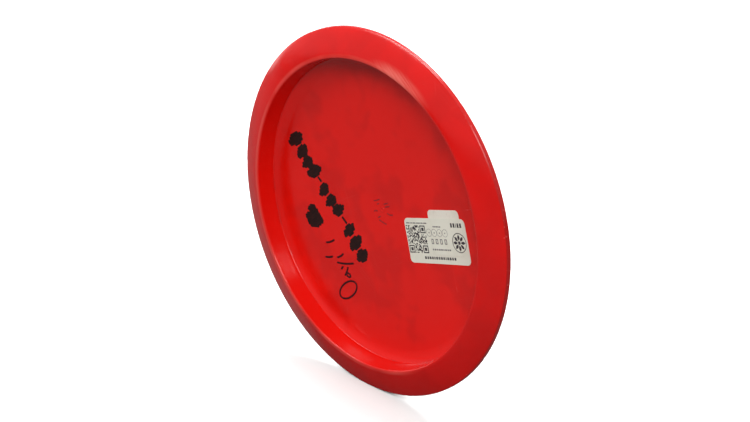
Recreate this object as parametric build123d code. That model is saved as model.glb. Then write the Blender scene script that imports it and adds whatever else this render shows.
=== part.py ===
from build123d import *

import math
import os

# A flying golf disc, stored standing on its edge with the hollow underside facing -Y.
# Millimetres. The origin is the lowest point of the nose, and the disc's axis runs along Y.
# Everything is drawn about the disc's centre first: X to the right, Z up, and Y as the height
# above the rim land, the flat ring that the disc lies on. place() then moves it to the frame.

# ---- Driving dimensions of the moulding ------------------------------------------------------
OUTER_RADIUS = 105.6  # to the upright face of the nose
NOSE_HEIGHT = 6.5  # middle of that face above the rim land
NOSE_FACE = 1.6  # height of its straight part
NOSE_LOWER_BLEND = 0.8
NOSE_UPPER_BLEND = 1.2
LOWER_WING_ANGLE = math.radians(25)  # slope of each wing where it meets the nose
UPPER_WING_ANGLE = math.radians(37)
LOWER_WING_PULLS = (1.2, 6.0)  # how far the direction at the land and at the nose carries on
UPPER_WING_PULLS = (6.5, 6.5)  # the same at the nose and at the plate's edge
INNER_RADIUS = 89.0  # inner wall at the lip
WALL_HEIGHT = 11.5  # lip to the foot of the shoulder
WALL_DRAFT = 0.6  # the wall leans in by this much over its height
LIP_FILLET = 0.8
LAND_WIDTH = 0.6  # flat part of the rim's lowest ring
SHOULDER_RADIUS = 84.5  # where the sloped shoulder meets the flight plate
SHOULDER_HEIGHT = 13.5
SHOULDER_BLEND = 18.0
WALL_BLEND = 0.6
CENTRE_HEIGHT = 17.0  # underside of the plate on the axis
PLATE_THICKNESS = 1.9
GATE_RADIUS = 1.7
GATE_HEIGHT = 0.12
GATE_DIMPLE_RADIUS = 0.7

# ---- Paper labels on the underside -----------------------------------------------------------
PAPER = 0.12
LABEL_LENGTH = 49.5
LABEL_WIDTH = 25.4
LABEL_CORNER = 3.0
LABEL_CENTRE = (44.9, -4.9)  # X, Z from the disc's centre
LABEL_TILT = 16.4  # degrees
OLD_LABEL_SIZE = 25.0  # an older square label, almost covered by the newer one
OLD_LABEL_CORNER = 2.5
OLD_LABEL_OFFSET = (8.4, 4.9)  # along and across the newer label, from its centre
DRAPE_MARGIN = 0.4  # the newer paper bridges the older one's edge by this much

# ---- Marker ink on the underside -------------------------------------------------------------
INK = 0.05
BLOT_PEN = 1.7  # width of the marker's line
BLOT_SPACING = 1.2  # from one line of a blot to the next
BLOT_ROUNDNESS = 3.0  # how much shorter the outer lines of a blot are
BLOT_UNEVEN = 0.6  # how far the ends of the lines stray
# X, Z, length, width and tilt in degrees of each blot in the row
ROW_BLOTS = [
    (-70.5, 24.2, 13.8, 7.8, 33),
    (-65.3, 17.8, 11.6, 7.2, 45),
    (-61.1, 12.2, 10.8, 6.8, 44),
    (-55.8, 7.9, 13.4, 7.2, 38),
    (-47.8, -1.4, 10.6, 6.8, 48),
    (-42.0, -6.6, 10.8, 6.8, 46),
    (-36.2, -10.8, 11.2, 7.0, 42),
    (-26.8, -20.6, 11.8, 6.8, 44),
    (-21.4, -26.9, 13.4, 7.4, 46),
    (-15.8, -33.0, 11.0, 7.8, 36),
]
# ends of the two dashes between the groups of blots
ROW_DASHES = [((-52.4, 4.8), (-50.4, 3.3)), ((-32.4, -14.5), (-29.4, -16.8))]
DASH_WIDTH = 1.5
# a large blot and the smaller one on top of it
LONE_BLOTS = [(-55.9, -21.8, 14.4, 10.6, 12), (-57.0, -16.9, 8.6, 7.6, 10)]
STROKE_WIDTH = 1.2
# pen strokes below the row: each is one smooth line through its points
SCRIBBLE = [
    [(-45.6, -33.8), (-42.6, -32.6), (-39.6, -30.6)],
    [(-45.9, -43.0), (-43.2, -42.4), (-40.6, -41.2)],
    [(-36.2, -40.4), (-33.6, -38.8), (-31.8, -37.0)],
    [(-36.0, -43.6), (-29.6, -42.4), (-23.2, -40.2)],
    [(-32.6, -46.4), (-31.6, -45.0)],
    [(-27.4, -44.2), (-28.2, -47.0), (-29.4, -49.4)],
]
# closed loops drawn with the same pen: X, Z, length, width and tilt
SCRIBBLE_LOOPS = [(-26.6, -48.6, 3.2, 2.2, -10), (-26.4, -57.8, 17.0, 8.6, 42)]
FAINT_WIDTH = 0.8
# faint pen strokes around the gate mark
FAINT_STROKES = [
    [(-6.4, 3.5), (-4.4, 4.2), (-2.4, 5.4)],
    [(-3.8, 2.1), (-2.6, 3.0)],
    [(2.8, 2.2), (4.2, 2.9), (5.6, 3.4)],
    [(1.6, 3.6), (3.0, 4.3), (4.4, 4.9)],
    [(-6.2, -2.9), (-5.0, -2.0), (-3.8, -2.1)],
    [(-3.0, -5.7), (-1.4, -4.6)],
    [(-2.0, -6.9), (0.6, -7.5), (3.6, -7.8)],
    [(4.4, -1.2), (6.4, -1.4), (8.6, -0.8)],
]

# ---- Foil stamp on the top -------------------------------------------------------------------
FOIL = 0.05
FOIL_RINGS = [(47.0, 48.4), (43.6, 44.2), (9.4, 10.4)]  # inner and outer radius
FOIL_RAYS = 24
FOIL_RAY_LONG = (14.0, 40.5)  # inner and outer end of the long rays
FOIL_RAY_SHORT = (22.0, 36.0)
FOIL_RAY_WIDTH = 2.6

# ---- Worked out from the above ---------------------------------------------------------------
TOTAL_HEIGHT = CENTRE_HEIGHT + PLATE_THICKNESS
TOP_SHOULDER_HEIGHT = SHOULDER_HEIGHT + PLATE_THICKNESS
WALL_TOP_RADIUS = INNER_RADIUS - WALL_DRAFT


def dome_radius(edge_radius, rise):
    """Radius of the sphere whose cap rises by rise over edge_radius."""
    return (edge_radius**2 + rise**2) / (2 * rise)


def dome_point(sphere, centre, radius):
    """Point of a dome's section at a distance from the axis."""
    return (radius, centre + math.sqrt(sphere**2 - radius**2))


UNDER_SPHERE = dome_radius(SHOULDER_RADIUS, CENTRE_HEIGHT - SHOULDER_HEIGHT)
UNDER_SPHERE_CENTRE = CENTRE_HEIGHT - UNDER_SPHERE
TOP_SPHERE = dome_radius(SHOULDER_RADIUS, TOTAL_HEIGHT - TOP_SHOULDER_HEIGHT)
TOP_SPHERE_CENTRE = TOTAL_HEIGHT - TOP_SPHERE
DOME_EDGE_SLOPE = math.asin(SHOULDER_RADIUS / UNDER_SPHERE)


def place(shape):
    """Moves a shape from the disc's own centre to the frame's origin under the nose."""
    return Pos(0, -NOSE_HEIGHT, OUTER_RADIUS) * shape


# ---- Moulding --------------------------------------------------------------------------------
def shifted(point, distance, slope):
    """A point moved along a slope, outwards when distance is positive."""
    return (point[0] + distance * math.cos(slope), point[1] + distance * math.sin(slope))


def blend_arc(centre, radius, start, end):
    """Arc about a centre, between two directions given as slopes."""
    middle = (start + end) / 2
    ends = (shifted(centre, radius, turn) for turn in (start, middle, end))
    return ThreePointArc(*ends)


def disc_section():
    """Half of the disc's section, X as the radius and Y as the height above the land."""
    land_end = (INNER_RADIUS + LIP_FILLET + LAND_WIDTH, 0)
    low_centre = (OUTER_RADIUS - NOSE_LOWER_BLEND, NOSE_HEIGHT - NOSE_FACE / 2)
    high_centre = (OUTER_RADIUS - NOSE_UPPER_BLEND, NOSE_HEIGHT + NOSE_FACE / 2)
    low_turn = LOWER_WING_ANGLE - math.pi / 2
    high_turn = math.pi / 2 - UPPER_WING_ANGLE
    nose_start = shifted(low_centre, NOSE_LOWER_BLEND, low_turn)
    nose_end = shifted(high_centre, NOSE_UPPER_BLEND, high_turn)
    top_edge = (SHOULDER_RADIUS, TOP_SHOULDER_HEIGHT)
    under_mid = dome_point(UNDER_SPHERE, UNDER_SPHERE_CENTRE, SHOULDER_RADIUS / 2)
    top_mid = dome_point(TOP_SPHERE, TOP_SPHERE_CENTRE, SHOULDER_RADIUS / 2)
    with BuildSketch() as section:
        with BuildLine():
            ThreePointArc((0, CENTRE_HEIGHT), under_mid, (SHOULDER_RADIUS, SHOULDER_HEIGHT))
            Line((SHOULDER_RADIUS, SHOULDER_HEIGHT), (WALL_TOP_RADIUS, WALL_HEIGHT))
            Line((WALL_TOP_RADIUS, WALL_HEIGHT), (INNER_RADIUS, 0))
            Line((INNER_RADIUS, 0), land_end)
            # lower wing, flat at the land and sloping at the nose
            Bezier(
                land_end,
                shifted(land_end, LOWER_WING_PULLS[0], 0),
                shifted(nose_start, -LOWER_WING_PULLS[1], LOWER_WING_ANGLE),
                nose_start,
            )
            blend_arc(low_centre, NOSE_LOWER_BLEND, low_turn, 0)
            Line((OUTER_RADIUS, low_centre[1]), (OUTER_RADIUS, high_centre[1]))
            blend_arc(high_centre, NOSE_UPPER_BLEND, 0, high_turn)
            # upper wing, from the nose to the edge of the domed plate
            Bezier(
                nose_end,
                shifted(nose_end, -UPPER_WING_PULLS[0], -UPPER_WING_ANGLE),
                shifted(top_edge, UPPER_WING_PULLS[1], -DOME_EDGE_SLOPE),
                top_edge,
            )
            ThreePointArc(top_edge, top_mid, (0, TOTAL_HEIGHT))
            Line((0, TOTAL_HEIGHT), (0, CENTRE_HEIGHT))
        make_face()
        fillet(corner_near(section, SHOULDER_RADIUS, SHOULDER_HEIGHT), SHOULDER_BLEND)
        fillet(corner_near(section, WALL_TOP_RADIUS, WALL_HEIGHT), WALL_BLEND)
        fillet(corner_near(section, INNER_RADIUS, 0), LIP_FILLET)
    return section.sketch


def corner_near(section, radius, height):
    """The section's corner nearest to a radius and height."""
    return section.vertices().sort_by_distance((radius, height, 0))[0]


def disc_body():
    """Rim and flight plate: one injection moulding, with its gate mark inside the plate."""
    body = revolve(disc_section(), Axis.Y)
    gate_face = Plane(origin=(0, CENTRE_HEIGHT, 0), z_dir=(0, -1, 0))
    gate = extrude(gate_face * Circle(GATE_RADIUS), GATE_HEIGHT, both=True)
    dimple_face = gate_face.offset(GATE_HEIGHT)
    dimple = extrude(dimple_face * Circle(GATE_DIMPLE_RADIUS), GATE_HEIGHT, both=True)
    return body + gate - dimple


# ---- Thin pieces that follow the domed plate --------------------------------------------------
def under_skin(bottom, top):
    """Layer under the plate, from bottom to top millimetres off its surface."""
    centre = Pos(0, UNDER_SPHERE_CENTRE, 0)
    return centre * (Sphere(UNDER_SPHERE - bottom) - Sphere(UNDER_SPHERE - top))


def top_skin(thickness):
    """Layer on top of the plate."""
    centre = Pos(0, TOP_SPHERE_CENTRE, 0)
    return centre * (Sphere(TOP_SPHERE + thickness) - Sphere(TOP_SPHERE))


def on_skin(outline, skin):
    """The part of a skin inside a flat outline drawn in X and Z."""
    column = extrude(Plane.XZ * outline, TOTAL_HEIGHT * 2, both=True)
    half = Pos(0, CENTRE_HEIGHT, 0) * Box(OUTER_RADIUS * 2, TOTAL_HEIGHT * 2, OUTER_RADIUS * 2)
    return (column & half) & skin


def joined(pieces):
    """One shape from overlapping or separate pieces."""
    whole = pieces[0]
    for piece in pieces[1:]:
        whole += piece
    return whole


def label_outline(length, width, corner, offset=(0, 0)):
    """A rounded label, placed along and across the tilted price label."""
    base = Pos(*LABEL_CENTRE) * Rot(0, 0, LABEL_TILT)
    return base * Pos(*offset) * RectangleRounded(length, width, corner)


def old_label():
    """The older label, directly on the plate."""
    outline = label_outline(OLD_LABEL_SIZE, OLD_LABEL_SIZE, OLD_LABEL_CORNER, OLD_LABEL_OFFSET)
    return on_skin(outline, under_skin(0, PAPER))


def price_label():
    """The newer label, which lies on the plate and steps up over the older one."""
    outline = label_outline(LABEL_LENGTH, LABEL_WIDTH, LABEL_CORNER)
    size = OLD_LABEL_SIZE + 2 * DRAPE_MARGIN
    corner = OLD_LABEL_CORNER + DRAPE_MARGIN
    raised = label_outline(size, size, corner, OLD_LABEL_OFFSET) & outline
    flat = on_skin(outline, under_skin(0, PAPER))
    step = on_skin(raised, under_skin(0, PAPER * 2))
    return flat + step - old_label()


def blot_outline(x, z, length, width, tilt):
    """A spot scribbled over with lines side by side, shorter at its edges and uneven at their ends."""
    spread = width - BLOT_PEN
    count = round(spread / BLOT_SPACING) + 1
    outline = Sketch()
    for number in range(count):
        across = number / (count - 1) - 0.5
        reach = length * math.sqrt(1 - BLOT_ROUNDNESS * across**2)
        wobble = BLOT_UNEVEN * math.sin(3 * number + x)
        sway = BLOT_UNEVEN * math.cos(5 * number + z)
        outline += Pos(sway, across * spread) * SlotOverall(reach + wobble, BLOT_PEN)
    return Pos(x, z) * Rot(0, 0, tilt) * outline


def stroke_outline(points, width):
    """A pen stroke of even width with round ends."""
    path = Line(*points) if len(points) == 2 else Spline(*points)
    outline = trace(path, width)
    for end in (points[0], points[-1]):
        outline += Pos(*end) * Circle(width / 2)
    return outline


def loop_outline(x, z, length, width, tilt):
    """A closed oval line drawn with the pen."""
    outer = Ellipse(length / 2 + STROKE_WIDTH / 2, width / 2 + STROKE_WIDTH / 2)
    inner = Ellipse(length / 2 - STROKE_WIDTH / 2, width / 2 - STROKE_WIDTH / 2)
    return Pos(x, z) * Rot(0, 0, tilt) * (outer - inner)


def ink(outlines):
    """Overlapping outlines joined into films of ink."""
    skin = under_skin(0, INK)
    return joined([on_skin(outline, skin) for outline in outlines])


def blot_row():
    """The row of blots and the dashes between its groups."""
    blots = [blot_outline(*blot) for blot in ROW_BLOTS]
    dashes = [stroke_outline(ends, DASH_WIDTH) for ends in ROW_DASHES]
    return ink(blots + dashes)


def lone_blot():
    """The large blot beside the row."""
    return ink([blot_outline(*blot) for blot in LONE_BLOTS])


def pen_scribble():
    """Strokes and loops of the thinner pen."""
    strokes = [stroke_outline(points, STROKE_WIDTH) for points in SCRIBBLE]
    loops = [loop_outline(*loop) for loop in SCRIBBLE_LOOPS]
    return ink(strokes + loops)


def faint_strokes():
    """Worn strokes around the gate mark."""
    return ink([stroke_outline(points, FAINT_WIDTH) for points in FAINT_STROKES])


# ---- Foil on the top --------------------------------------------------------------------------
def foil_ray(number):
    """One diamond ray of the burst; long and short rays take turns."""
    inner, outer = FOIL_RAY_LONG if number % 2 == 0 else FOIL_RAY_SHORT
    middle = (inner + outer) / 2
    half = FOIL_RAY_WIDTH / 2
    diamond = make_face(Polyline((inner, 0), (middle, half), (outer, 0), (middle, -half), close=True))
    return Rot(0, 0, number * 360 / FOIL_RAYS) * diamond


def foil_stamp():
    """Hot-stamped foil: rings and a plain burst of diamond rays."""
    rings = [Circle(outer) - Circle(inner) for inner, outer in FOIL_RINGS]
    rays = [foil_ray(number) for number in range(FOIL_RAYS)]
    skin = top_skin(FOIL)
    return joined([on_skin(outline, skin) for outline in rings + rays])


NODES = {
    "disc_body": disc_body,
    "price_label": price_label,
    "old_label": old_label,
    "marker_blot_row": blot_row,
    "marker_lone_blot": lone_blot,
    "pen_scribble": pen_scribble,
    "faint_pen_marks": faint_strokes,
    "foil_stamp": foil_stamp,
}

os.makedirs("parts", exist_ok=True)
for node, make in NODES.items():
    shape = place(make())
    print(node, round(shape.volume, 3), [round(side, 2) for side in shape.bounding_box().size])
    export_step(shape, f"parts/{node}.step")
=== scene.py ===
"""A used golf disc standing on its edge, seen from its hollow underside.

Shapes are drawn about the disc's centre in millimetres: x to the right, z up, and the height
above the rim land, the flat ring that the disc lies on. place() turns them into the frame's metres.
"""

import math
from typing import NamedTuple

import bpy
import numpy as np
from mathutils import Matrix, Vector


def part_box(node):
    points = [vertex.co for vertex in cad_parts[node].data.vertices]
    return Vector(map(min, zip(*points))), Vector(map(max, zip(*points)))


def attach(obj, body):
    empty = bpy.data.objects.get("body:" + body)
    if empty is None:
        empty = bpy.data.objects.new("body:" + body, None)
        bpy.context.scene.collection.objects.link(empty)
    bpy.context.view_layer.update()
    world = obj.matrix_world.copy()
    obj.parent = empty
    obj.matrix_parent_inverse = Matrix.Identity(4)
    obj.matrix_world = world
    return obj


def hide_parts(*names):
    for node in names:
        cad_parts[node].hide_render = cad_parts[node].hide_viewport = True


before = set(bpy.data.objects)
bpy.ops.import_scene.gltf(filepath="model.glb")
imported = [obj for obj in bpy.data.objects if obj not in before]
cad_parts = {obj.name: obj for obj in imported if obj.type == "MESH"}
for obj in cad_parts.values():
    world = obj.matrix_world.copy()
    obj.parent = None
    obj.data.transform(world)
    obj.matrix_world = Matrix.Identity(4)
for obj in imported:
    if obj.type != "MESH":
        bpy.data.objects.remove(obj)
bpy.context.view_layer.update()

MM = 0.001
SEED = 7
SHARP_ANGLE = math.radians(45)

# ---- The moulding, in millimetres; the outer size and the land's place come from the frame ----
BODY_LOW, BODY_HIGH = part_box("disc_body")
OUTER_RADIUS = (BODY_HIGH.z - BODY_LOW.z) / 2 / MM
DISC_CENTRE = Vector((0, BODY_LOW.y, (BODY_LOW.z + BODY_HIGH.z) / 2))
TOTAL_HEIGHT = (BODY_HIGH.y - BODY_LOW.y) / MM
NOSE_HEIGHT = -BODY_LOW.y / MM
NOSE_FACE = 1.6
NOSE_LOWER_BLEND = 0.8
NOSE_UPPER_BLEND = 1.2
LOWER_WING_ANGLE = math.radians(25)
UPPER_WING_ANGLE = math.radians(37)
LOWER_WING_PULLS = (1.2, 6.0)
UPPER_WING_PULLS = (6.5, 6.5)
INNER_RADIUS = 89.0
WALL_HEIGHT = 11.5
WALL_TOP_RADIUS = INNER_RADIUS - 0.6
LIP_FILLET = 0.8
LAND_END_RADIUS = INNER_RADIUS + LIP_FILLET + 0.6
SHOULDER_RADIUS = 84.5
SHOULDER_HEIGHT = 13.5
SHOULDER_BLEND = 18.0
WALL_BLEND = 0.6
PLATE_THICKNESS = 1.9
CENTRE_HEIGHT = TOTAL_HEIGHT - PLATE_THICKNESS
DOME_RISE = CENTRE_HEIGHT - SHOULDER_HEIGHT
DOME_SPHERE = (SHOULDER_RADIUS**2 + DOME_RISE**2) / (2 * DOME_RISE)
DOME_EDGE_SLOPE = math.asin(SHOULDER_RADIUS / DOME_SPHERE)
GATE_RADIUS = 1.7
GATE_HEIGHT = 0.12
GATE_DIMPLE_RADIUS = 0.7
GATE_BLEND = 0.05
PARTING_DEPTH = 0.05
PARTING_WIDTH = 0.16
LAND_END = (LAND_END_RADIUS, 0.0)
TOP_EDGE = (SHOULDER_RADIUS, SHOULDER_HEIGHT + PLATE_THICKNESS)

# ---- How finely the moulding is drawn: the turn, then the parts of its section ----
TURN_STEPS = 960
GATE_BLEND_STEPS = 4
PLATE_START = GATE_RADIUS + 0.4
PLATE_POINTS = 26
SHOULDER_STEPS = 12
WALL_BLEND_STEPS = 6
WALL_SHARES = (0.9, 0.5, 0.12)  # where the wall has a point, as shares of its height
LIP_STEPS = 8
WING_STEPS = 24
NOSE_BLEND_STEPS = 8
NOSE_FACE_STEPS = 16
TOP_POINTS = 30

# ---- Knocks in the nose: how many, and the ranges of their depths and widths ----
NICKS = 26
NICK_DEPTHS = (0.06, 0.32)
NICK_WIDTHS = (0.8, 2.4)
NICK_SCATTER = 0.9  # how far they stray from the nose's middle
NICK_ASPECT = 0.8  # height of a knock for a width of 1

# ---- Paper labels, along and across the tilted newer label ----
PAPER = 0.12
LABEL_LENGTH = 49.5
LABEL_WIDTH = 25.4
LABEL_CORNER = 3.0
LABEL_CENTRE = (44.9, -4.9)
LABEL_TILT = math.radians(16.4)
OLD_LABEL_SIZE = 25.0
OLD_LABEL_CORNER = 2.5
OLD_LABEL_OFFSET = (8.4, 4.9)
PAPER_STEP = 0.4  # mesh spacing
CORNER_ROWS = 9  # rows of points in a label's rounded corner
DRAPE = 0.8  # width of the slope where the newer paper climbs onto the older one
GLUE_GAP = 0.03
BUBBLE_HEIGHT = 0.025
BUBBLE_WAVES = ((0.31, 0.12), (-0.07, 0.42))  # radians per millimetre along and across
CORNER_LIFT = 0.35
CORNER_LIFT_REACH = 5.0

# ---- Print of the newer label, as a reader holds it: u right and v up from the label's centre ----
PRINT_INK = 0.02
PRINT_SINK = 0.03
PRINT_STEP = 0.25  # spacing of the print's points, so that it follows the paper under it
DOT_HOLE = 0.05  # radius left open in the middle of a dot
CODE_CENTRE = (16.3, -0.8)
CODE_SIZE = 15.6
CODE_CELLS = 25
CODE_CORNER = 7  # cells along the side of a corner square
BADGE_CENTRE = (-18.0, 0.4)
BADGE_RING = (5.5, 5.05)  # outer and inner radius
BADGE_DOT = 1.0
BADGE_LEAVES = 8
LEAF_REACH = (1.3, 4.7)
LEAF_WIDTH = 1.7
LEAF_TIP = 0.03
SYMBOLS = 4  # circles in their row, and frames in theirs
CIRCLE_ROW = (-0.85, -4.65)
CIRCLE_SPACING = 4.35
CIRCLE_RING = (2.15, 1.95)
CIRCLE_DOT = 0.42
FRAME_ROW = (-1.6, 0.2)
FRAME_SPACING = 3.6
FRAME_SIZE = (1.9, 2.9)
FRAME_LINE = 0.5


class Row(NamedTuple):
    """Plain blocks in place of words: their common centre, and each block's width."""

    centre: tuple
    height: float
    gap: float
    widths: tuple


HEADING_WIDTHS = (1.4, 1.2, 1.4, 1.3, 0.7, 1.2, 1.4, 1.2, 1.4, 0.9, 1.2, 1.4, 1.1, 1.4)
HEADING = Row((-0.2, 9.55), 1.5, 0.65, HEADING_WIDTHS)
PRICE = Row((-17.4, -9.2), 2.4, 0.75, (1.3, 1.3, 0.5, 1.3, 1.3))
SMALL_ROWS = (
    Row((14.9, -9.9), 0.6, 0.45, (2.6, 1.9, 3.2, 2.4, 1.6, 2.9)),
    Row((-1.45, -8.1), 0.7, 0.3, (1.1, 0.9, 1.2, 0.9, 1.0)),
    Row((-2.6, 4.7), 0.9, 0.55, (1.3, 1.0, 1.4, 0.9, 1.2, 1.3, 1.0, 1.4, 1.1)),
)


def colour(red, green, blue):
    """A linear colour for a shader socket."""
    return (red, green, blue, 1.0)


# ---- Marks in the plastic: where they lie, in millimetres, and their colours ----
PLATE_LEVELS = (9.0, 13.0)  # heights from the wall to the plate
PLATE_RADII = (89.5, 80.0)  # radii from the wall to the plate
CORNER_SHADE_RADIUS = WALL_TOP_RADIUS - 0.1
NOSE_SCUFF_RADII = (102.8, 105.4)
# where the nose's painted shade lies
NOSE_SHADE_RADII = (OUTER_RADIUS - 0.7, OUTER_RADIUS - 0.1)
RUBBED_SHEEN_REACH = (0.3, 1.7)  # distances from the land's end
RUBBED_SHEEN_HEIGHTS = (1.5, 0.5)
SHEEN_SIDE = (52.0, 24.0)  # x from the side without the pale band to the one with it
GLARE_STREAK_MIDDLE = (30.5, 91.5)  # its x and its radius
GLARE_STREAK_REACH = (25.0, 5.0)
GLARE_STREAK_TILT = math.radians(-36)
HAIRLINE_SETS = ((0.5, 0.5), (1.9, 0.4), (-0.6, 0.6))  # tilt and fineness
HAIRLINE_WIDTH = 0.006
HAIRLINE_SHARE = 0.3
CORNER_SHADE_SHARE = 0.3
GLARE_STREAK_SHARE = 0.44
NOSE_SHADE_SHARE = 0.75
WEAR_SHARE = 0.3
CLOUD_LIGHT = colour(0.64, 0.0040, 0.0026)
CLOUD_DEEP = colour(0.56, 0.0044, 0.0030)
# painted light: a lighter red inside the rim stands in for light shining through the thin plate
LIT_THROUGH_RED = colour(0.73, 0.0052, 0.0018)
SMUDGED_RED = colour(0.58, 0.0044, 0.0022)
# painted shade for the corner between the wall and the plate
CORNER_SHADE_RED = colour(0.20, 0.004, 0.005)
# partly abrasion, partly a painted reflection on the land
RUBBED_SHEEN_RED = colour(0.84, 0.14, 0.11)
# painted reflection streak on the rim near the top
GLARE_STREAK_RED = colour(0.88, 0.28, 0.22)
# painted shade for the nose's outer face
NOSE_SHADE_RED = colour(0.36, 0.0050, 0.0045)
SCUFFED_RED = colour(0.74, 0.10, 0.09)


class Paper(NamedTuple):
    """A label's paper: its two mottled tones, and how much grime shows on it."""

    light: tuple
    aged: tuple
    grime: float


class Ink(NamedTuple):
    """An ink: its pooled and thin tones, the plastic's share in its specks, and its roughness."""

    pooled: tuple
    thin: tuple
    see_through: float
    rough: float


# ---- Paper, inks and foil ----
OLD_PAPER = Paper(colour(0.74, 0.70, 0.61), colour(0.68, 0.63, 0.54), 0.25)
NEW_PAPER = Paper(colour(0.71, 0.70, 0.60), colour(0.67, 0.655, 0.555), 0.12)
BOLD_PRINT = Ink(colour(0.030, 0.026, 0.032), colour(0.060, 0.050, 0.060), 0.0, 0.5)
LIGHT_PRINT = Ink(colour(0.12, 0.11, 0.12), colour(0.20, 0.185, 0.19), 0.0, 0.5)
MARKER_INK = Ink(colour(0.011, 0.004, 0.0035), colour(0.026, 0.007, 0.006), 0.35, 0.30)
PEN_INK = Ink(colour(0.020, 0.003, 0.005), colour(0.060, 0.004, 0.006), 0.3, 0.34)
FAINT_INK = Ink(colour(0.24, 0.014, 0.016), colour(0.34, 0.016, 0.018), 0.5, 0.4)
FIBRE_TINT = colour(0.45, 0.40, 0.33)
GRIME_TINT = colour(0.38, 0.27, 0.22)
RED_THROUGH_INK = colour(0.24, 0.012, 0.012)
STROKE_TILT = 0.78
FOIL_BRIGHT = colour(0.90, 0.90, 0.92)
FOIL_DULL = colour(0.78, 0.79, 0.83)
FOIL_RUBBED_OFF = colour(0.55, 0.012, 0.011)

# ---- Stage: what the eye sees, and the darker tones that light and reflections see ----
FLOOR_HALF = 60.0
FLOOR_SEEN = colour(0.86, 0.86, 0.85)
FLOOR_AS_LIGHT = colour(0.10, 0.10, 0.10)
SKY_SEEN = colour(0.94, 0.94, 0.94)
SKY_LOW = colour(0.42, 0.42, 0.43)
SKY_HIGH = colour(0.55, 0.55, 0.56)
SKY_RISE = (-0.1, 0.9)
CAMERA_AZIMUTH = 47.05
CAMERA_ELEVATION = 22.08
CAMERA_DISTANCE = 0.869
CAMERA_SHIFT = (0.0085, 0.0035)  # to its right and up
CAMERA_LENS = 75.6
CAMERA_SENSOR = 36.0


# ======================= Small tools ==========================================================
def place(x, height, z):
    """Frame coordinates, in metres, of a point given in the disc's own millimetres."""
    return (x * MM + DISC_CENTRE.x, height * MM + DISC_CENTRE.y, z * MM + DISC_CENTRE.z)


def smoothstep(value):
    """A smooth rise from 0 to 1 as the value goes from 0 to 1."""
    value = np.clip(value, 0.0, 1.0)
    return value * value * (3 - 2 * value)


def spaced(middle, spacing, count):
    """Evenly spaced places about a middle."""
    return [middle + (number - (count - 1) / 2) * spacing for number in range(count)]


def shade_smooth(mesh):
    """Smooth shading for every face of a mesh."""
    mesh.polygons.foreach_set("use_smooth", [True] * len(mesh.polygons))


def add_piece(name, vertices, faces, material, replaces=()):
    """A smooth-shaded mesh piece of the object that rides with the disc."""
    mesh = bpy.data.meshes.new(name)
    mesh.from_pydata(vertices, [], faces)
    shade_smooth(mesh)
    mesh.materials.append(material)
    piece = bpy.data.objects.new(name, mesh)
    bpy.context.scene.collection.objects.link(piece)
    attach(piece, "root")
    if replaces:
        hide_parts(*replaces)
    return piece


# ======================= The moulding =========================================================
def dome_height(radius, thickness=0.0):
    """Height of the plate's underside at a radius, or of a surface that much above it."""
    return CENTRE_HEIGHT + thickness - DOME_SPHERE + math.sqrt(DOME_SPHERE**2 - radius**2)


def shifted(point, distance, slope):
    """A point moved along a slope, outwards when distance is positive."""
    return (point[0] + distance * math.cos(slope), point[1] + distance * math.sin(slope))


def bezier(start, pull_start, pull_end, end, steps):
    """Points of a Bezier curve, both ends included."""
    points = []
    for step in range(steps + 1):
        t = step / steps
        s = 1 - t
        weights = (s**3, 3 * s * s * t, 3 * s * t * t, t**3)
        corners = (start, pull_start, pull_end, end)
        points.append(tuple(sum(w * p[axis] for w, p in zip(weights, corners)) for axis in (0, 1)))
    return points


def arc(centre, radius, start, end, steps):
    """Points of an arc about a centre, between two directions given as slopes."""
    turns = np.linspace(start, end, steps + 1)
    return [shifted(centre, radius, turn) for turn in turns]


def rounded(before, corner, after, radius, steps):
    """Points of a corner between two straight directions, rounded off."""
    corner = Vector(corner)
    back = (Vector(before) - corner).normalized()
    onward = (Vector(after) - corner).normalized()
    half = back.angle(onward) / 2
    centre = corner + (back + onward).normalized() * radius / math.sin(half)
    first = corner + back * radius / math.tan(half) - centre
    last = corner + onward * radius / math.tan(half) - centre
    start = math.atan2(first.y, first.x)
    sweep = math.remainder(math.atan2(last.y, last.x) - start, 2 * math.pi)
    return arc(centre, radius, start, start + sweep, steps)


def gate_profile():
    """The gate mark on the axis: a low ring with a dimple, from the axis outwards."""
    face = CENTRE_HEIGHT - GATE_HEIGHT
    foot = dome_height(GATE_RADIUS)
    corners = [
        (GATE_DIMPLE_RADIUS, CENTRE_HEIGHT),
        (GATE_DIMPLE_RADIUS, face),
        (GATE_RADIUS, face),
        (GATE_RADIUS, foot),
    ]
    route = [(0.0, CENTRE_HEIGHT)] + corners + [(GATE_RADIUS * 2, foot)]
    points = [route[0]]
    for before, corner, after in zip(route, corners, route[2:]):
        points += rounded(before, corner, after, GATE_BLEND, GATE_BLEND_STEPS)
    return points


def underside_profile():
    """The section from the axis out along the plate, down the inner wall and round the lip."""
    shoulder = (SHOULDER_RADIUS, SHOULDER_HEIGHT)
    wall_top = (WALL_TOP_RADIUS, WALL_HEIGHT)
    lip = (INNER_RADIUS, 0.0)
    on_plate_slope = shifted(shoulder, -SHOULDER_BLEND / 2, -DOME_EDGE_SLOPE)
    plate_radii = np.linspace(PLATE_START, SHOULDER_RADIUS - SHOULDER_BLEND / 4, PLATE_POINTS)
    draft = INNER_RADIUS - WALL_TOP_RADIUS
    return (
        gate_profile()
        + [(radius, dome_height(radius)) for radius in plate_radii]
        + rounded(on_plate_slope, shoulder, wall_top, SHOULDER_BLEND, SHOULDER_STEPS)
        + rounded(shoulder, wall_top, lip, WALL_BLEND, WALL_BLEND_STEPS)
        + [(INNER_RADIUS - draft * share, WALL_HEIGHT * share) for share in WALL_SHARES]
        + rounded(wall_top, lip, LAND_END, LIP_FILLET, LIP_STEPS)
    )


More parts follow.
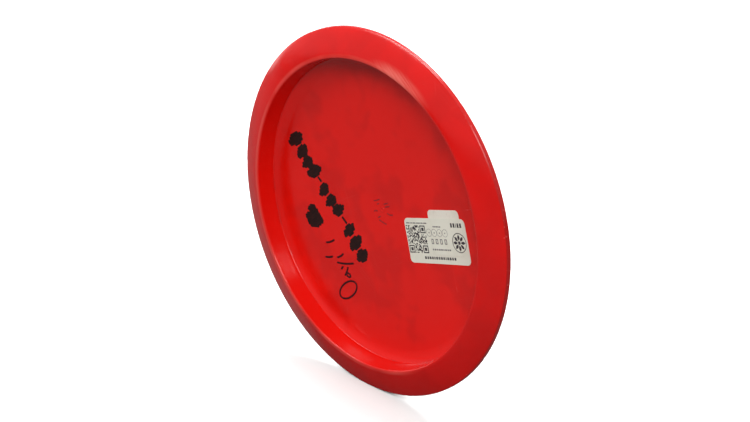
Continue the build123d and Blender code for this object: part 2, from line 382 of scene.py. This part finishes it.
def nose_face():
    """The nose's upright face, with the fine groove where the mould's halves meet."""
    points = []
    for level in np.linspace(-NOSE_FACE / 2, NOSE_FACE / 2, NOSE_FACE_STEPS + 1)[1:-1]:
        groove = PARTING_DEPTH * math.exp(-((level / PARTING_WIDTH) ** 2))
        points.append((OUTER_RADIUS - groove, NOSE_HEIGHT + level))
    return points


def wing_profile():
    """The section from the land out along the lower wing, round the nose and back to the top."""
    low_centre = (OUTER_RADIUS - NOSE_LOWER_BLEND, NOSE_HEIGHT - NOSE_FACE / 2)
    high_centre = (OUTER_RADIUS - NOSE_UPPER_BLEND, NOSE_HEIGHT + NOSE_FACE / 2)
    low_turn = LOWER_WING_ANGLE - math.pi / 2
    high_turn = math.pi / 2 - UPPER_WING_ANGLE
    nose_start = shifted(low_centre, NOSE_LOWER_BLEND, low_turn)
    nose_end = shifted(high_centre, NOSE_UPPER_BLEND, high_turn)
    lower_wing = bezier(
        LAND_END,
        shifted(LAND_END, LOWER_WING_PULLS[0], 0),
        shifted(nose_start, -LOWER_WING_PULLS[1], LOWER_WING_ANGLE),
        nose_start,
        WING_STEPS,
    )
    upper_wing = bezier(
        nose_end,
        shifted(nose_end, -UPPER_WING_PULLS[0], -UPPER_WING_ANGLE),
        shifted(TOP_EDGE, UPPER_WING_PULLS[1], -DOME_EDGE_SLOPE),
        TOP_EDGE,
        WING_STEPS,
    )
    return (
        lower_wing
        + arc(low_centre, NOSE_LOWER_BLEND, low_turn, 0, NOSE_BLEND_STEPS)[1:]
        + nose_face()
        + arc(high_centre, NOSE_UPPER_BLEND, 0, high_turn, NOSE_BLEND_STEPS)
        + upper_wing[1:-1]
    )


def disc_profile():
    """Half of the disc's section, from the axis out along the underside and back over the top."""
    top_radii = np.linspace(SHOULDER_RADIUS, 0, TOP_POINTS)
    top = [(radius, dome_height(radius, PLATE_THICKNESS)) for radius in top_radii]
    return underside_profile() + wing_profile() + top


def knocks(radius, height, turn):
    """How far small knocks press the nose in at each point; most of them are shallow."""
    random = np.random.default_rng(SEED)
    shallow, deep = NICK_DEPTHS
    pressed = np.zeros((len(radius), TURN_STEPS))
    for _ in range(NICKS):
        at = random.uniform(-math.pi, math.pi)
        level = NOSE_HEIGHT + random.normal(0, NICK_SCATTER)
        width = random.uniform(*NICK_WIDTHS)
        depth = shallow + (deep - shallow) * random.uniform() ** 3
        along = (np.mod(turn - at + math.pi, 2 * math.pi) - math.pi) * OUTER_RADIUS / width
        across = (height - level) / (width * NICK_ASPECT)
        pressed += depth * np.exp(-(along**2) - across**2) * (radius > LAND_END_RADIUS)
    return pressed


def worn_rings(profile):
    """The section turned about the axis, one ring of frame points for each of its points."""
    radius = np.array([point[0] for point in profile])[:, None]
    height = np.array([point[1] for point in profile])[:, None]
    turn = np.linspace(0, 2 * math.pi, TURN_STEPS, endpoint=False)[None, :]
    worn = radius - knocks(radius, height, turn)
    x, z = worn * np.cos(turn), worn * np.sin(turn)
    y = np.broadcast_to(height, x.shape)
    return np.stack(place(x, y, z), axis=-1)


def disc_body(material):
    """The rim and flight plate as one moulding, finer than the CAD mesh that it stands for."""
    profile = disc_profile()
    rings = worn_rings(profile[1:-1])
    count = len(rings)
    vertices = rings.reshape(-1, 3).tolist()
    vertices.append(place(0, profile[0][1], 0))
    vertices.append(place(0, profile[-1][1], 0))
    under_axis, top_axis = count * TURN_STEPS, count * TURN_STEPS + 1
    here = np.arange(TURN_STEPS)
    onward = np.roll(here, -1)
    faces = []
    for ring in range(count - 1):
        low, high = ring * TURN_STEPS, (ring + 1) * TURN_STEPS
        quads = np.stack([low + here, high + here, high + onward, low + onward], axis=-1)
        faces += quads.tolist()
    last = (count - 1) * TURN_STEPS
    faces += [[under_axis, int(a), int(b)] for a, b in zip(here, onward)]
    faces += [[top_axis, int(last + b), int(last + a)] for a, b in zip(here, onward)]
    return add_piece("disc_moulding", vertices, faces, material, ["disc_body"])


# ======================= Paper labels =========================================================
def on_plate(along, across, lift):
    """Frame point on the plate's underside, from label coordinates and a lift off the plastic."""
    x = LABEL_CENTRE[0] + along * math.cos(LABEL_TILT) - across * math.sin(LABEL_TILT)
    z = LABEL_CENTRE[1] + along * math.sin(LABEL_TILT) + across * math.cos(LABEL_TILT)
    sphere = DOME_SPHERE - lift
    height = CENTRE_HEIGHT - DOME_SPHERE + np.sqrt(sphere**2 - x**2 - z**2)
    return np.stack(place(x, height, z), axis=-1)


def outside_distance(along, across, length, width, corner):
    """Distance from a rounded rectangle about the origin, negative inside it."""
    over_a = np.abs(along) - (length / 2 - corner)
    over_b = np.abs(across) - (width / 2 - corner)
    beyond = np.hypot(np.maximum(over_a, 0), np.maximum(over_b, 0))
    return beyond + np.minimum(np.maximum(over_a, over_b), 0) - corner


def old_label_rise(along, across):
    """How far the older label holds the newer one off the plate."""
    distance = outside_distance(
        along - OLD_LABEL_OFFSET[0],
        across - OLD_LABEL_OFFSET[1],
        OLD_LABEL_SIZE,
        OLD_LABEL_SIZE,
        OLD_LABEL_CORNER,
    )
    return PAPER * smoothstep(1 - distance / DRAPE)


def slight_waves(along, across):
    """Shallow bubbles and a lifting corner of the newer label."""
    bubbles = BUBBLE_HEIGHT
    for rate_along, rate_across in BUBBLE_WAVES:
        bubbles = bubbles * np.sin(along * rate_along + across * rate_across)
    corner = np.hypot(along + LABEL_LENGTH / 2, across + LABEL_WIDTH / 2)
    return GLUE_GAP + bubbles + CORNER_LIFT * smoothstep(1 - corner / CORNER_LIFT_REACH) ** 2


def new_label_lift(along, across):
    """Lift of the newer label's back off the plate."""
    return old_label_rise(along, across) + slight_waves(along, across)


def old_label_lift(along, across):
    """Lift of the older label's back off the plate: none, as it is stuck down flat."""
    return np.zeros_like(along)


def label_rows(length, width, corner):
    """Rows of points that fill a rounded rectangle, as arrays along and across it."""
    turns = np.linspace(0, math.pi / 2, CORNER_ROWS)
    end_rows = width / 2 - corner + corner * np.cos(turns)
    middle = np.linspace(0, width / 2 - corner, round(width / 2 / PAPER_STEP))[1:-1]
    upper = np.concatenate([[0.0], middle, end_rows[::-1]])
    across = np.concatenate([-upper[:0:-1], upper])
    into_corner = np.maximum(np.abs(across) - (width / 2 - corner), 0)
    reach = length / 2 - corner + np.sqrt(np.maximum(corner**2 - into_corner**2, 0))
    share = np.linspace(-1, 1, round(length / PAPER_STEP) + 1)
    return reach[:, None] * share[None, :], np.repeat(across[:, None], len(share), axis=1)


def sheet_faces(rows, columns):
    """Faces of a closed sheet whose front grid of points is followed by its back grid."""
    index = np.arange(rows * columns).reshape(rows, columns)
    a, b = index[:-1, :-1].ravel(), index[:-1, 1:].ravel()
    c, d = index[1:, 1:].ravel(), index[1:, :-1].ravel()
    front = np.stack([a, b, c, d], axis=-1)
    back = np.stack([d, c, b, a], axis=-1) + rows * columns
    edge = np.concatenate([index[0, :-1], index[:-1, -1], index[-1, :0:-1], index[:0:-1, 0]])
    ahead = np.roll(edge, -1)
    side = np.stack([ahead, edge, edge + rows * columns, ahead + rows * columns], axis=-1)
    return np.concatenate([front, back, side]).tolist()


def paper_sheet(name, size, offset, lift, material, node):
    """A label as a closed sheet of paper that follows the dome and whatever lies under it."""
    along, across = label_rows(*size)
    along, across = along + offset[0], across + offset[1]
    back = lift(along, across)
    front_points = on_plate(along, across, back + PAPER)
    back_points = on_plate(along, across, back)
    points = np.concatenate([front_points.reshape(-1, 3), back_points.reshape(-1, 3)])
    piece = add_piece(name, points.tolist(), sheet_faces(*along.shape), material, [node])
    piece.data.set_sharp_from_angle(angle=SHARP_ANGLE)
    return piece


# ======================= Print of the newer label =============================================
class Print:
    """Thin closed patches of printing ink; a reader of the label sees u run right and v run up."""

    def __init__(self):
        self.vertices = []
        self.faces = []

    def ribbon(self, left, right, closed=False):
        """A patch between two edges with the same number of points; closed joins its two ends."""
        edges = np.array([left, right], float)
        along, across = -edges[..., 0], -edges[..., 1]
        lift = new_label_lift(along, across) + PAPER
        top = on_plate(along, across, lift + PRINT_INK)
        bottom = on_plate(along, across, lift - PRINT_SINK)
        count, base = len(left), len(self.vertices)
        self.vertices += np.concatenate([top, bottom]).reshape(-1, 3).tolist()
        spans = range(count) if closed else range(count - 1)
        for here in spans:
            ahead = (here + 1) % count
            corners = [base + here, base + ahead, base + count + ahead, base + count + here]
            deep = [corner + 2 * count for corner in corners]
            self.faces.append(corners)
            self.faces.append(deep[::-1])
            self.faces.append([corners[1], corners[0], deep[0], deep[1]])
            self.faces.append([corners[3], corners[2], deep[2], deep[3]])
        if not closed:
            for here, turned in ((0, False), (count - 1, True)):
                end = [base + here, base + count + here]
                cap = end + [end[1] + 2 * count, end[0] + 2 * count]
                self.faces.append(cap[::-1] if turned else cap)

    def bar(self, u, v, length, height):
        """A bar from (u, v), its lower left corner."""
        stations = np.linspace(u, u + length, round(length / PRINT_STEP) + 2)
        self.ribbon([(at, v + height) for at in stations], [(at, v) for at in stations])

    def frame(self, u, v, width, height, line):
        """An upright hollow box, centred on (u, v)."""
        left, low = u - width / 2, v - height / 2
        self.bar(left, low, width, line)
        self.bar(left, low + height - line, width, line)
        self.bar(left, low + line, line, height - 2 * line)
        self.bar(left + width - line, low + line, line, height - 2 * line)

    def ring(self, u, v, outer, inner=DOT_HOLE):
        """A round line, or a dot when no inner radius is given."""
        steps = round(2 * math.pi * outer / PRINT_STEP)
        turns = np.linspace(0, 2 * math.pi, steps, endpoint=False)
        inside, outside = [
            [(u + radius * math.cos(turn), v + radius * math.sin(turn)) for turn in turns]
            for radius in (inner, outer)
        ]
        self.ribbon(inside, outside, closed=True)

    def leaf(self, u, v, turn):
        """A pointed leaf on a ray from (u, v)."""
        near, far = LEAF_REACH
        left, right = [], []
        for share in np.linspace(0, 1, round((far - near) / PRINT_STEP) + 1):
            reach = near + (far - near) * share
            half = LEAF_TIP + LEAF_WIDTH / 2 * math.sin(math.pi * share)
            for edge, side in ((left, half), (right, -half)):
                x = u + reach * math.cos(turn) - side * math.sin(turn)
                y = v + reach * math.sin(turn) + side * math.cos(turn)
                edge.append((x, y))
        self.ribbon(left, right)

    def marks(self, row):
        """One bar for each width of a row."""
        u, v = row.centre
        at = u - (sum(row.widths) + row.gap * (len(row.widths) - 1)) / 2
        for width in row.widths:
            self.bar(at, v - row.height / 2, width, row.height)
            at += width + row.gap


def code_cells():
    """Which cells of the block pattern are filled: random ones, and three corner squares."""
    random = np.random.default_rng(SEED)
    filled = random.uniform(size=(CODE_CELLS, CODE_CELLS)) < 0.5
    far = CODE_CELLS - CODE_CORNER
    for row, column in ((0, 0), (far, 0), (far, far)):
        squares = ((-1, False), (0, True), (1, False), (2, True))
        for inset, fill in squares:
            rows = slice(max(row + inset, 0), row + CODE_CORNER - inset)
            columns = slice(max(column + inset, 0), column + CODE_CORNER - inset)
            filled[rows, columns] = fill
    return filled


def block_pattern(ink):
    """A square of blocks that holds no data, in place of a machine-readable code."""
    filled = code_cells()
    left, low = CODE_CENTRE[0] - CODE_SIZE / 2, CODE_CENTRE[1] - CODE_SIZE / 2
    cell = CODE_SIZE / CODE_CELLS
    for row in range(CODE_CELLS):
        column = 0
        while column < CODE_CELLS:
            run = column
            while run < CODE_CELLS and filled[row, run]:
                run += 1
            if run > column:
                ink.bar(left + column * cell, low + row * cell, (run - column) * cell, cell)
            column = run + 1


def badge(ink):
    """A plain round badge: a ring around a ring of leaves."""
    u, v = BADGE_CENTRE
    ink.ring(u, v, *BADGE_RING)
    ink.ring(u, v, BADGE_DOT)
    for leaf in range(BADGE_LEAVES):
        ink.leaf(u, v, 2 * math.pi * leaf / BADGE_LEAVES)


def bold_print(material):
    """The dark print of the newer label: block pattern, badge, price and heading as plain marks."""
    ink = Print()
    block_pattern(ink)
    badge(ink)
    ink.marks(PRICE)
    ink.marks(HEADING)
    return add_piece("label_print_bold", ink.vertices, ink.faces, material)


def light_print(material):
    """The paler print of the newer label: its circles, spaced frames and small lines."""
    ink = Print()
    for u in spaced(CIRCLE_ROW[0], CIRCLE_SPACING, SYMBOLS):
        ink.ring(u, CIRCLE_ROW[1], *CIRCLE_RING)
        ink.ring(u, CIRCLE_ROW[1], CIRCLE_DOT)
    for u in spaced(FRAME_ROW[0], FRAME_SPACING, SYMBOLS):
        ink.frame(u, FRAME_ROW[1], *FRAME_SIZE, FRAME_LINE)
    for row in SMALL_ROWS:
        ink.marks(row)
    return add_piece("label_print_light", ink.vertices, ink.faces, material)


# ======================= Materials ============================================================
class Shader:
    """A material's node tree, with one short call for each kind of node."""

    def __init__(self, name, **surface):
        self.material = bpy.data.materials.new(name)
        self.material.use_nodes = True
        self.tree = self.material.node_tree
        self.surface = self.tree.nodes["Principled BSDF"]
        self.set(**surface)
        spot = self.node("ShaderNodeTexCoord").outputs["Object"]
        from_centre = self.vector("SUBTRACT", spot, DISC_CENTRE)
        self.mm = self.vector("SCALE", from_centre, scale=1 / MM)
        split = self.node("ShaderNodeSeparateXYZ", Vector=self.mm)
        self.x, self.height, self.z = split.outputs
        flat = self.vector("MULTIPLY", self.mm, (1, 0, 1))
        self.radius = self.vector("LENGTH", flat, output="Value")

    def feed(self, socket, value):
        """Links a socket to another one, or sets its value."""
        if isinstance(value, bpy.types.NodeSocket):
            self.tree.links.new(value, socket)
        else:
            socket.default_value = value

    def set(self, **inputs):
        """Values or sockets for the surface's inputs, with _ for a space in their names."""
        for name, value in inputs.items():
            self.feed(self.surface.inputs[name.replace("_", " ")], value)

    def node(self, kind, settings=None, **inputs):
        """A new node, with its settings and its inputs."""
        made = self.tree.nodes.new(kind)
        for name, value in (settings or {}).items():
            setattr(made, name, value)
        for name, value in inputs.items():
            self.feed(made.inputs[name.replace("_", " ")], value)
        return made

    def vector(self, operation, first, second=None, scale=None, output="Vector"):
        """One step of vector arithmetic."""
        made = self.node("ShaderNodeVectorMath", {"operation": operation})
        self.feed(made.inputs[0], first)
        if second is not None:
            self.feed(made.inputs[1], second)
        if scale is not None:
            self.feed(made.inputs["Scale"], scale)
        return made.outputs[output]

    def math(self, operation, first, second=0.0):
        """One step of arithmetic."""
        made = self.node("ShaderNodeMath", {"operation": operation})
        self.feed(made.inputs[0], first)
        self.feed(made.inputs[1], second)
        return made.outputs[0]

    def times(self, *factors):
        """Product of all factors."""
        product = factors[0]
        for factor in factors[1:]:
            product = self.math("MULTIPLY", product, factor)
        return product

    def apart(self, value, middle):
        """Distance of a value from a middle, never negative."""
        return self.math("ABSOLUTE", self.math("SUBTRACT", value, middle))

    def turned(self, tilt):
        """The disc's millimetres, turned by a tilt about its axis."""
        settings = {"rotation_type": "Y_AXIS"}
        return self.node("ShaderNodeVectorRotate", settings, Vector=self.mm, Angle=tilt).outputs[0]

    def noise(self, scale, detail=2.0, roughness=0.5, vector=None, distortion=0.0):
        """Noise from 0 to 1 with scale features per millimetre."""
        made = self.node(
            "ShaderNodeTexNoise",
            Vector=self.mm if vector is None else vector,
            Scale=scale,
            Detail=detail,
            Roughness=roughness,
            Distortion=distortion,
        )
        return made.outputs[0]

    def rings(self, per_mm):
        """Noise from 0 to 1 that changes with the radius only."""
        made = self.node(
            "ShaderNodeTexNoise",
            {"noise_dimensions": "1D"},
            W=self.times(self.radius, per_mm),
            Detail=2.0,
        )
        return made.outputs[0]

    def ramp(self, value, start, end, at_start=0.0, at_end=1.0):
        """A smooth step between two values of its input; start may be the greater one."""
        made = self.node(
            "ShaderNodeMapRange",
            {"interpolation_type": "SMOOTHSTEP"},
            Value=value,
            From_Min=start,
            From_Max=end,
            To_Min=at_start,
            To_Max=at_end,
        )
        return made.outputs[0]

    def mix(self, share, first, second):
        """Colour between first and second."""
        made = self.node("ShaderNodeMix", {"data_type": "RGBA"})
        self.feed(made.inputs[0], share)
        self.feed(made.inputs[6], first)
        self.feed(made.inputs[7], second)
        return made.outputs[2]

    def relief(self, *layers):
        """Normal of bumps laid over each other: each one's height, and its depth in millimetres."""
        normal = None
        for height, depth in layers:
            made = self.node("ShaderNodeBump", Height=height, Distance=depth * MM, Strength=1.0)
            if normal is not None:
                self.feed(made.inputs["Normal"], normal)
            normal = made.outputs[0]
        return normal

    def scratches(self, tilt, fineness, thickness):
        """Share of fine straight scratches that run at a tilt across the disc."""
        stretched = self.vector("MULTIPLY", self.turned(tilt), (0.008, 0.1, 1.0))
        line = self.noise(fineness, detail=1.0, vector=stretched)
        drawn = self.ramp(self.apart(line, 0.5), 0.0, thickness, 1.0, 0.0)
        patches = self.ramp(self.noise(0.03), 0.54, 0.66)
        return self.times(drawn, patches)


def clouds_and_lit_through_red(shader):
    """The plastic's colour: soft flow clouds, and a fuller, lighter red inside the rim that is painted
    light shining through the thin plate.
    """
    clouds = shader.ramp(shader.noise(0.035, detail=3.0, roughness=0.55, distortion=0.6), 0.35, 0.7)
    # painted light: lighter red inside the rim for light shining through the thin plate
    inner = shader.ramp(shader.radius, LAND_END_RADIUS, WALL_TOP_RADIUS, 0.0, 0.8)
    return shader.mix(inner, shader.mix(clouds, CLOUD_LIGHT, CLOUD_DEEP), LIT_THROUGH_RED)


def plate_smudges(shader, plate):
    """Share of soft dark smudges on the plate."""
    smudges = shader.noise(0.04, roughness=0.6, distortion=0.2)
    return shader.times(plate, shader.ramp(smudges, 0.46, 0.66, 0.0, 0.8))


def corner_shade(shader, plate_level):
    """Share of painted shade, darker in patches, in the corner between the wall and the plate."""
    from_corner = shader.apart(shader.radius, CORNER_SHADE_RADIUS)
    in_corner = shader.times(shader.ramp(from_corner, 0.1, 0.9, 1.0, 0.0), plate_level)
    return shader.times(in_corner, shader.ramp(shader.noise(0.12, detail=3.0), 0.4, 0.7))


def rubbed_land_and_sheen(shader):
    """Share of the pale, patchy band along the land, on all but the right side: partly abrasion,
    partly a painted reflection.
    """
    from_land = shader.apart(shader.radius, LAND_END_RADIUS)
    near_land = shader.ramp(from_land, *RUBBED_SHEEN_REACH, 1.0, 0.0)
    on_land = shader.times(near_land, shader.ramp(shader.height, *RUBBED_SHEEN_HEIGHTS))
    patchy = shader.ramp(shader.noise(0.03), 0.3, 0.6, 0.10, 0.36)
    return shader.times(on_land, patchy, shader.ramp(shader.x, *SHEEN_SIDE))


def painted_glare_streak(shader):
    """Share of a pale, streaky painted reflection along the lip near the top, on the rim only."""
    shares = []
    for value, middle, reach in zip((shader.x, shader.radius), GLARE_STREAK_MIDDLE, GLARE_STREAK_REACH):
        shares.append(shader.math("DIVIDE", shader.math("SUBTRACT", value, middle), reach))
    from_middle = shader.node("ShaderNodeCombineXYZ", X=shares[0], Y=shares[1]).outputs[0]
    inside = shader.ramp(shader.vector("LENGTH", from_middle, output="Value"), 0.1, 1.0, 1.0, 0.0)
    stretched = shader.vector("MULTIPLY", shader.turned(GLARE_STREAK_TILT), (0.06, 0, 1))
    streaks = shader.noise(0.7, detail=3.0, roughness=0.6, vector=stretched)
    streaky = shader.times(inside, shader.ramp(streaks, 0.35, 0.65, 0.35, 1.0))
    under_rim = shader.ramp(shader.height, NOSE_HEIGHT, NOSE_HEIGHT - 1)
    upper_half = shader.math("GREATER_THAN", shader.z, 0.0)
    return shader.times(streaky, shader.times(under_rim, upper_half))


def hairlines(shader):
    """Share of fine straight scratches in several directions."""
    drawn = 0.0
    for tilt, fineness in HAIRLINE_SETS:
        drawn = shader.math("MAXIMUM", drawn, shader.scratches(tilt, fineness, HAIRLINE_WIDTH))
    return drawn


def nose_scuffs(shader):
    """Share of small scuffs on the nose."""
    at_nose = shader.ramp(shader.radius, *NOSE_SCUFF_RADII)
    scuffed = shader.noise(0.45, detail=4.0, roughness=0.6)
    return shader.times(at_nose, shader.ramp(scuffed, 0.6, 0.74))


def disc_plastic():
    """Glossy red plastic with flow clouds, mould rings and a painted lighter red inside the rim, and
    marks over them.

    These are smudges, painted shade in the wall's corner, the land partly rubbed and partly a painted
    reflection, a painted reflection streak near the top, painted shade on the nose, and wear.
    """
    shader = Shader("disc_plastic", IOR=1.46)
    plate_level = shader.ramp(shader.height, *PLATE_LEVELS)
    plate = shader.times(shader.ramp(shader.radius, *PLATE_RADII), plate_level)
    wear = shader.math("MAXIMUM", shader.times(hairlines(shader), HAIRLINE_SHARE), nose_scuffs(shader))
    marks = (
        (plate_smudges(shader, plate), SMUDGED_RED),
        # painted shade: darker in patches in the corner between the wall and the plate
        (shader.times(corner_shade(shader, plate_level), CORNER_SHADE_SHARE), CORNER_SHADE_RED),
        # pale land: partly abrasion, partly a painted reflection, kept off the right side
        (rubbed_land_and_sheen(shader), RUBBED_SHEEN_RED),
        # painted reflection: a pale streak along the lip near the top
        (shader.times(painted_glare_streak(shader), GLARE_STREAK_SHARE), GLARE_STREAK_RED),
        # painted shade: the nose's outer face darkened all round
        (shader.ramp(shader.radius, *NOSE_SHADE_RADII, 0.0, NOSE_SHADE_SHARE), NOSE_SHADE_RED),
        (shader.times(wear, WEAR_SHARE), SCUFFED_RED),
    )
    base = clouds_and_lit_through_red(shader)
    for share, tint in marks:
        base = shader.mix(share, base, tint)
    uneven = shader.ramp(shader.noise(0.05, detail=3.0), 0.3, 0.75, 0.15, 0.22)
    rough = shader.math("ADD", uneven, shader.times(wear, 0.2))
    normal = shader.relief(
        (shader.noise(0.045, detail=1.0), 0.12),
        (shader.noise(0.9, detail=1.0), 0.0012),
        (shader.times(shader.rings(0.9), plate), 0.002),
        (shader.math("SUBTRACT", 1.0, wear), 0.006),
    )
    shader.set(Base_Color=base, Roughness=rough, Normal=normal)
    return shader.material


def label_paper(name, paper):
    """Coated label paper with fibres, faint mottling and grime."""
    shader = Shader(name, IOR=1.45, Specular_IOR_Level=0.35)
    mottled = shader.ramp(shader.noise(0.09, detail=4.0, roughness=0.6), 0.35, 0.7)
    fibres = shader.noise(2.4, detail=5.0, roughness=0.7, distortion=1.5)
    grime = shader.ramp(shader.noise(0.3, detail=6.0, roughness=0.7), 0.56, 0.72, 0.0, paper.grime)
    base = shader.mix(mottled, paper.light, paper.aged)
    base = shader.mix(shader.ramp(fibres, 0.55, 0.8, 0.0, 0.12), base, FIBRE_TINT)
    base = shader.mix(grime, base, GRIME_TINT)
    rough = shader.ramp(shader.noise(0.8, detail=4.0), 0.3, 0.7, 0.46, 0.62)
    normal = shader.relief((fibres, 0.006), (shader.noise(0.16), 0.05))
    shader.set(Base_Color=base, Roughness=rough, Normal=normal)
    return shader.material


def pen_ink(name, ink):
    """Ink that is pooled in some places and thin in others, with the plastic showing faintly."""
    shader = Shader(name, IOR=1.5, Specular_IOR_Level=0.2)
    stretched = shader.vector("MULTIPLY", shader.turned(STROKE_TILT), (0.12, 1, 1))
    streaks = shader.noise(1.6, detail=3.0, roughness=0.6, vector=stretched)
    specks = shader.noise(1.9, detail=4.0, roughness=0.7)
    base = shader.mix(shader.ramp(streaks, 0.38, 0.66), ink.pooled, ink.thin)
    base = shader.mix(shader.ramp(specks, 0.6, 0.74, 0.0, ink.see_through), base, RED_THROUGH_INK)
    rough = shader.ramp(shader.noise(0.7, detail=3.0), 0.3, 0.7, ink.rough, ink.rough + 0.16)
    shader.set(Base_Color=base, Roughness=rough, Normal=shader.relief((streaks, 0.012)))
    return shader.material


def stamp_foil():
    """Hot-stamped silver foil, rubbed through to the plastic in places."""
    shader = Shader("stamp_foil", IOR=1.5)
    rubbed = shader.ramp(shader.noise(0.16, detail=6.0, roughness=0.75), 0.55, 0.63)
    gone = shader.math("MAXIMUM", rubbed, shader.scratches(0.3, 1.0, 0.02))
    tint = shader.mix(shader.noise(0.05), FOIL_BRIGHT, FOIL_DULL)
    base = shader.mix(gone, tint, FOIL_RUBBED_OFF)
    metal = shader.math("SUBTRACT", 1.0, gone)
    rough = shader.ramp(shader.noise(0.3, detail=4.0), 0.3, 0.7, 0.16, 0.38)
    normal = shader.relief((shader.noise(0.25, detail=3.0), 0.09))
    shader.set(Base_Color=base, Metallic=metal, Roughness=rough, Normal=normal)
    return shader.material


def dress_cad_node(name, material):
    """Gives a carried-over CAD node its material."""
    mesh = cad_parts[name].data
    mesh.materials.clear()
    mesh.materials.append(material)
    shade_smooth(mesh)
    mesh.set_sharp_from_angle(angle=SHARP_ANGLE)


# ======================= Stage ================================================================
def aim(thing, place_at, target):
    """Puts a camera or light at a place and turns it to a target."""
    thing.location = place_at
    thing.rotation_mode = "QUATERNION"
    thing.rotation_quaternion = (Vector(target) - Vector(place_at)).to_track_quat("-Z", "Y")


def direction(azimuth, elevation):
    """Unit vector from the disc; azimuth 0 is in front, at -Y, and 90 at +X."""
    a, e = math.radians(azimuth), math.radians(elevation)
    return Vector((math.sin(a) * math.cos(e), -math.cos(a) * math.cos(e), math.sin(e)))


def soft_light(name, azimuth, elevation, distance, size, watts):
    """A rectangular soft box that faces the disc; distance and size are in metres."""
    light = bpy.data.lights.new(name, "AREA")
    light.shape = "RECTANGLE"
    light.size, light.size_y = size
    light.energy = watts
    lamp = bpy.data.objects.new(name, light)
    bpy.context.scene.collection.objects.link(lamp)
    aim(lamp, DISC_CENTRE + direction(azimuth, elevation) * distance, DISC_CENTRE)
    return lamp


def seen_or_lit(tree, as_light, seen, target):
    """Feeds a target with one tone for the eye and another for light and reflections."""
    rays = tree.nodes.new("ShaderNodeLightPath")
    shade = tree.nodes.new("ShaderNodeMix")
    shade.data_type = "RGBA"
    if isinstance(as_light, bpy.types.NodeSocket):
        tree.links.new(as_light, shade.inputs[6])
    else:
        shade.inputs[6].default_value = as_light
    shade.inputs[7].default_value = seen
    tree.links.new(rays.outputs["Is Camera Ray"], shade.inputs[0])
    tree.links.new(shade.outputs[2], target)


def pale_floor():
    """A wide plain floor under the disc, darker in reflections and as bounced light."""
    mesh = bpy.data.meshes.new("floor")
    signs = ((-1, -1), (1, -1), (1, 1), (-1, 1))
    mesh.from_pydata([(x * FLOOR_HALF, y * FLOOR_HALF, 0) for x, y in signs], [], [(0, 1, 2, 3)])
    floor = bpy.data.objects.new("floor", mesh)
    bpy.context.scene.collection.objects.link(floor)
    material = bpy.data.materials.new("floor_paint")
    material.use_nodes = True
    surface = material.node_tree.nodes["Principled BSDF"]
    surface.inputs["Roughness"].default_value = 0.9
    surface.inputs["Specular IOR Level"].default_value = 0.1
    seen_or_lit(material.node_tree, FLOOR_AS_LIGHT, FLOOR_SEEN, surface.inputs["Base Color"])
    mesh.materials.append(material)


def studio_world():
    """White surroundings to the eye, and a softer sky that is brighter overhead as light."""
    world = bpy.data.worlds.new("studio")
    bpy.context.scene.world = world
    world.use_nodes = True
    tree = world.node_tree
    nodes, links = tree.nodes, tree.links
    background = nodes["Background"]
    background.inputs["Strength"].default_value = 1.0
    spot = nodes.new("ShaderNodeTexCoord")
    split = nodes.new("ShaderNodeSeparateXYZ")
    rise = nodes.new("ShaderNodeMapRange")
    rise.inputs["From Min"].default_value, rise.inputs["From Max"].default_value = SKY_RISE
    sky = nodes.new("ShaderNodeMix")
    sky.data_type = "RGBA"
    sky.inputs[6].default_value = SKY_LOW
    sky.inputs[7].default_value = SKY_HIGH
    links.new(spot.outputs["Generated"], split.inputs[0])
    links.new(split.outputs["Z"], rise.inputs["Value"])
    links.new(rise.outputs[0], sky.inputs[0])
    seen_or_lit(tree, sky.outputs[2], SKY_SEEN, background.inputs["Color"])


def studio_camera():
    """Looks at the underside from the front right and above."""
    away = direction(CAMERA_AZIMUTH, CAMERA_ELEVATION)
    side = Vector((-away.y, away.x, 0)).normalized()
    up = away.cross(side)
    camera = bpy.data.objects.new("camera", bpy.data.cameras.new("camera"))
    camera.data.sensor_width = CAMERA_SENSOR
    camera.data.lens = CAMERA_LENS
    bpy.context.scene.collection.objects.link(camera)
    stand = DISC_CENTRE + away * CAMERA_DISTANCE + side * CAMERA_SHIFT[0] + up * CAMERA_SHIFT[1]
    aim(camera, stand, stand - away)
    bpy.context.scene.camera = camera


# ======================= The whole object =====================================================
disc_body(disc_plastic())
paper_sheet(
    "old_label_sheet",
    size=(OLD_LABEL_SIZE, OLD_LABEL_SIZE, OLD_LABEL_CORNER),
    offset=OLD_LABEL_OFFSET,
    lift=old_label_lift,
    material=label_paper("old_label_paper", OLD_PAPER),
    node="old_label",
)
paper_sheet(
    "price_label_sheet",
    size=(LABEL_LENGTH, LABEL_WIDTH, LABEL_CORNER),
    offset=(0, 0),
    lift=new_label_lift,
    material=label_paper("label_paper", NEW_PAPER),
    node="price_label",
)
bold_print(pen_ink("bold_print", BOLD_PRINT))
light_print(pen_ink("light_print", LIGHT_PRINT))
marker = pen_ink("marker_ink", MARKER_INK)
dress_cad_node("marker_blot_row", marker)
dress_cad_node("marker_lone_blot", marker)
dress_cad_node("pen_scribble", pen_ink("pen_ink", PEN_INK))
dress_cad_node("faint_pen_marks", pen_ink("faint_ink", FAINT_INK))
dress_cad_node("foil_stamp", stamp_foil())

pale_floor()
studio_world()
soft_light("key", azimuth=51, elevation=37, distance=1.3, size=(0.5, 0.4), watts=11.0)
soft_light("fill", azimuth=-40, elevation=40, distance=1.3, size=(0.6, 0.5), watts=6.2)
soft_light("side", azimuth=-98, elevation=11, distance=1.3, size=(0.9, 0.6), watts=4.5)
soft_light("background", azimuth=-140, elevation=68, distance=1.2, size=(0.9, 0.5), watts=23)
studio_camera()
bpy.context.scene.view_settings.view_transform = "Standard"
